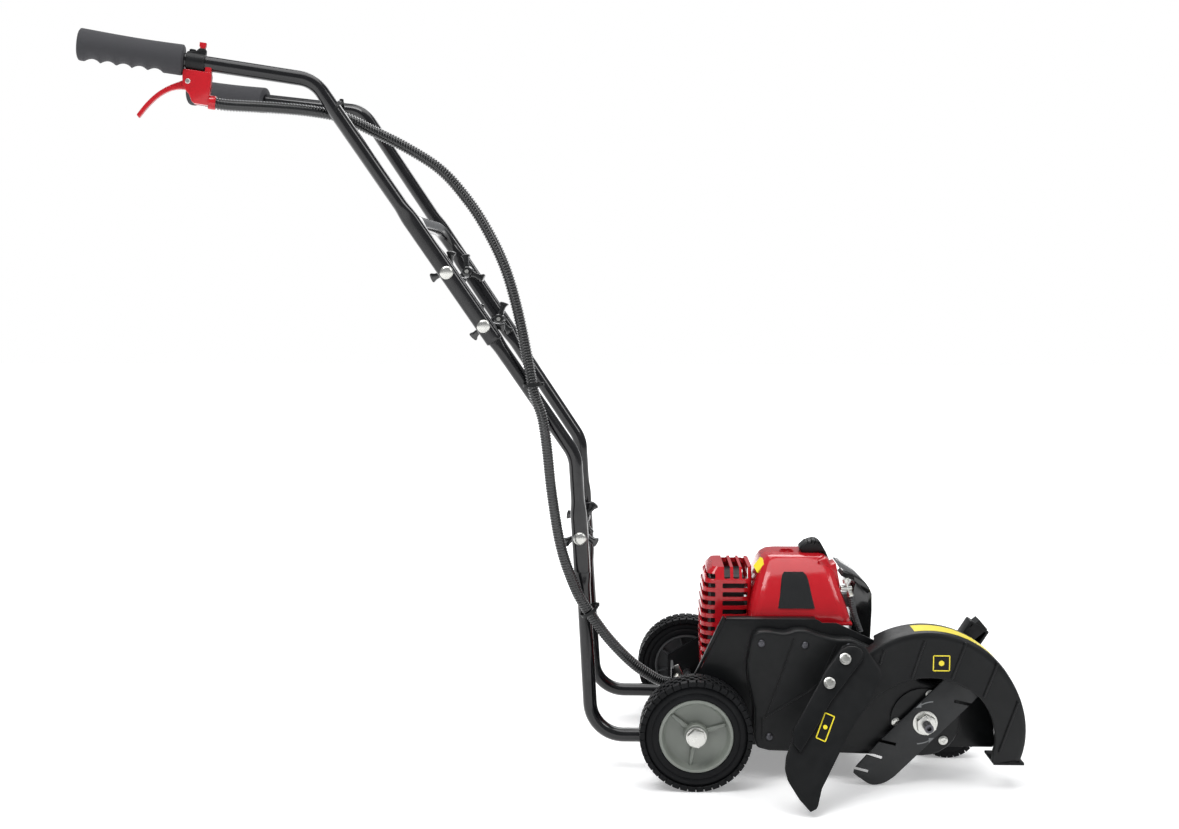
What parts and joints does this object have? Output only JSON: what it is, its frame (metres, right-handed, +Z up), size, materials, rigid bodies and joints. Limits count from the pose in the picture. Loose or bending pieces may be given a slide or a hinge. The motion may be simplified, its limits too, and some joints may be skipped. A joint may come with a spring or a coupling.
{
  "type": "lawn edger",
  "caption": "Petrol lawn edger: folding tube handle with throttle, sheet chassis on three wheels, small engine, belt drive and an upright cutting blade in a half-round guard.",
  "frame": {"origin": "on the ground below the middle of the rear axle", "axes": "+X forward, +Z up, -Y the machine's right, where the blade is"},
  "size_m": [1.2125, 0.508, 0.9848],
  "materials": {
    "handle_tube": "gloss black enamel",
    "grip_rubber": "matt charcoal rubber",
    "zinc": "bright zinc plate",
    "black_plastic": "fine-grained black moulding",
    "red_plastic": "glossy red moulding",
    "black_sheet": "satin black powder coat",
    "tyre": "moulded black tyre",
    "hub_grey": "grey-green moulded plastic",
    "hub_black": "black moulded plastic",
    "steel": "machined steel",
    "cast": "cast aluminium",
    "belt_rubber": "moulded belt rubber",
    "blade_steel": "black painted spring steel",
    "hot_steel": "heat-resistant black paint",
    "tank": "translucent white moulding",
    "dark_screw": "blackened steel"
  },
  "bodies": {
    "chassis": {"lower_tube_right": "handle_tube", "lower_tube_left": "handle_tube", "fold_bolts": "zinc", "conduit_lower": "black_plastic", "side_plate_right": "black_sheet", "side_plate_left": "black_sheet", "engine_deck": "black_sheet", "flange_bolts": "zinc", "rear_axle": "zinc", "wheel_bolts": "zinc", "front_pivot": "zinc", "belt_cover": "black_plastic", "cover_screws": "dark_screw", "deflector_flap": "black_plastic", "flap_bar": "black_sheet", "blade_guard": "black_plastic", "spindle_shield": "black_plastic", "bearing_housing": "cast", "spindle_bearings": "steel", "drive_belt": "belt_rubber", "engine_block": "cast", "top_cover": "red_plastic", "exhaust_guard": "red_plastic", "muffler": "hot_steel", "starter_housing": "black_plastic", "plug_boot": "black_plastic", "carburettor": "cast", "air_cleaner": "black_plastic", "fuel_tank": "tank"},
    "handle": {"upper_tube_right": "handle_tube", "upper_tube_left": "handle_tube", "grip_right": "grip_rubber", "grip_left": "grip_rubber", "middle_handle": "handle_tube", "upper_joint_bolts": "zinc", "throttle_clamp": "black_plastic", "throttle_housing": "red_plastic", "conduit_upper": "black_plastic"},
    "knob_right_front": {"knob_right_front": "black_plastic"},
    "knob_right_rear": {"knob_right_rear": "black_plastic"},
    "knob_left_front": {"knob_left_front": "black_plastic"},
    "knob_left_rear": {"knob_left_rear": "black_plastic"},
    "knob_fold_right": {"knob_fold_right": "black_plastic"},
    "knob_fold_left": {"knob_fold_left": "black_plastic"},
    "lever": {"throttle_lever": "red_plastic"},
    "switch": {"stop_switch": "red_plastic"},
    "wheel_right": {"tyre_right": "tyre", "hub_right": "hub_grey"},
    "wheel_left": {"tyre_left": "tyre", "hub_left": "hub_grey"},
    "front_arm": {"front_arm": "black_sheet"},
    "front_wheel": {"front_tyre": "tyre", "front_hub": "hub_black"},
    "spindle": {"spindle_shaft": "steel", "driven_pulley": "steel", "blade": "blade_steel", "blade_nut": "zinc"},
    "clutch_drum": {"clutch_drum": "steel"},
    "crankshaft": {"crankshaft": "steel"},
    "starter_handle": {"starter_handle": "black_plastic"}
  },
  "joints": [
    {"name": "handle_fold", "type": "hinge", "parent": "chassis", "child": "handle", "pos_m": [-0.156, 0, 0.323], "axis": [0, 1, 0], "range_deg": [0, 100]},
    {"name": "knob_right_front_turn", "type": "hinge", "parent": "handle", "child": "knob_right_front", "pos_m": [-0.28389, -0.08496, 0.61564], "axis": [0.0439, -0.9969, -0.065], "continuous": true},
    {"name": "knob_right_rear_turn", "type": "hinge", "parent": "handle", "child": "knob_right_rear", "pos_m": [-0.33127, -0.09163, 0.6859], "axis": [0.0439, -0.9969, -0.065], "continuous": true},
    {"name": "knob_fold_right_turn", "type": "hinge", "parent": "chassis", "child": "knob_fold_right", "pos_m": [-0.156, -0.063, 0.323], "axis": [0, -1, 0], "continuous": true},
    {"name": "knob_left_front_turn", "type": "hinge", "parent": "handle", "child": "knob_left_front", "pos_m": [-0.28389, 0.08496, 0.61564], "axis": [0.0439, 0.9969, -0.065], "continuous": true},
    {"name": "knob_left_rear_turn", "type": "hinge", "parent": "handle", "child": "knob_left_rear", "pos_m": [-0.33127, 0.09163, 0.6859], "axis": [0.0439, 0.9969, -0.065], "continuous": true},
    {"name": "knob_fold_left_turn", "type": "hinge", "parent": "chassis", "child": "knob_fold_left", "pos_m": [-0.156, 0.063, 0.323], "axis": [0, 1, 0], "continuous": true},
    {"name": "throttle_squeeze", "type": "hinge", "parent": "handle", "child": "lever", "pos_m": [-0.64718, -0.19243, 0.92183], "axis": [-0.1994, 0.9799, 0], "range_deg": [0, 22], "stiffness_Nm_per_rad": 0.6, "springref_deg": -14.32},
    {"name": "stop_switch_rock", "type": "hinge", "parent": "handle", "child": "switch", "pos_m": [-0.62867, -0.18866, 0.96574], "axis": [0.1994, -0.9799, 0], "range_deg": [-9, 9]},
    {"name": "wheel_right_spin", "type": "hinge", "parent": "chassis", "child": "wheel_right", "pos_m": [0, -0.167, 0.075], "axis": [0, 1, 0], "continuous": true},
    {"name": "wheel_left_spin", "type": "hinge", "parent": "chassis", "child": "wheel_left", "pos_m": [0, 0.167, 0.075], "axis": [0, 1, 0], "continuous": true},
    {"name": "depth_adjust", "type": "hinge", "parent": "chassis", "child": "front_arm", "pos_m": [0.262, 0, 0.072], "axis": [0, 1, 0], "range_deg": [-8, 12]},
    {"name": "front_wheel_spin", "type": "hinge", "parent": "front_arm", "child": "front_wheel", "pos_m": [0.361, -0.03, 0.045], "axis": [0, 1, 0], "continuous": true},
    {"name": "blade_spin", "type": "hinge", "parent": "chassis", "child": "spindle", "pos_m": [0.305, -0.1, 0.087], "axis": [0, 1, 0], "continuous": true},
    {"name": "clutch_drum_spin", "type": "hinge", "parent": "chassis", "child": "clutch_drum", "pos_m": [0.135, -0.1, 0.13], "axis": [0, 1, 0], "continuous": true},
    {"name": "crankshaft_spin", "type": "hinge", "parent": "chassis", "child": "crankshaft", "pos_m": [0.135, 0, 0.13], "axis": [0, 1, 0], "continuous": true},
    {"name": "starter_pull", "type": "slide", "parent": "chassis", "child": "starter_handle", "axis": [0, 0, 1], "range_m": [0, 0.02], "stiffness_N_per_m": 60, "springref_m": -0.02}
  ],
  "couplings": [
    {"joint": "clutch_drum_spin", "follows": "blade_spin", "ratio": 1.5909}
  ]
}
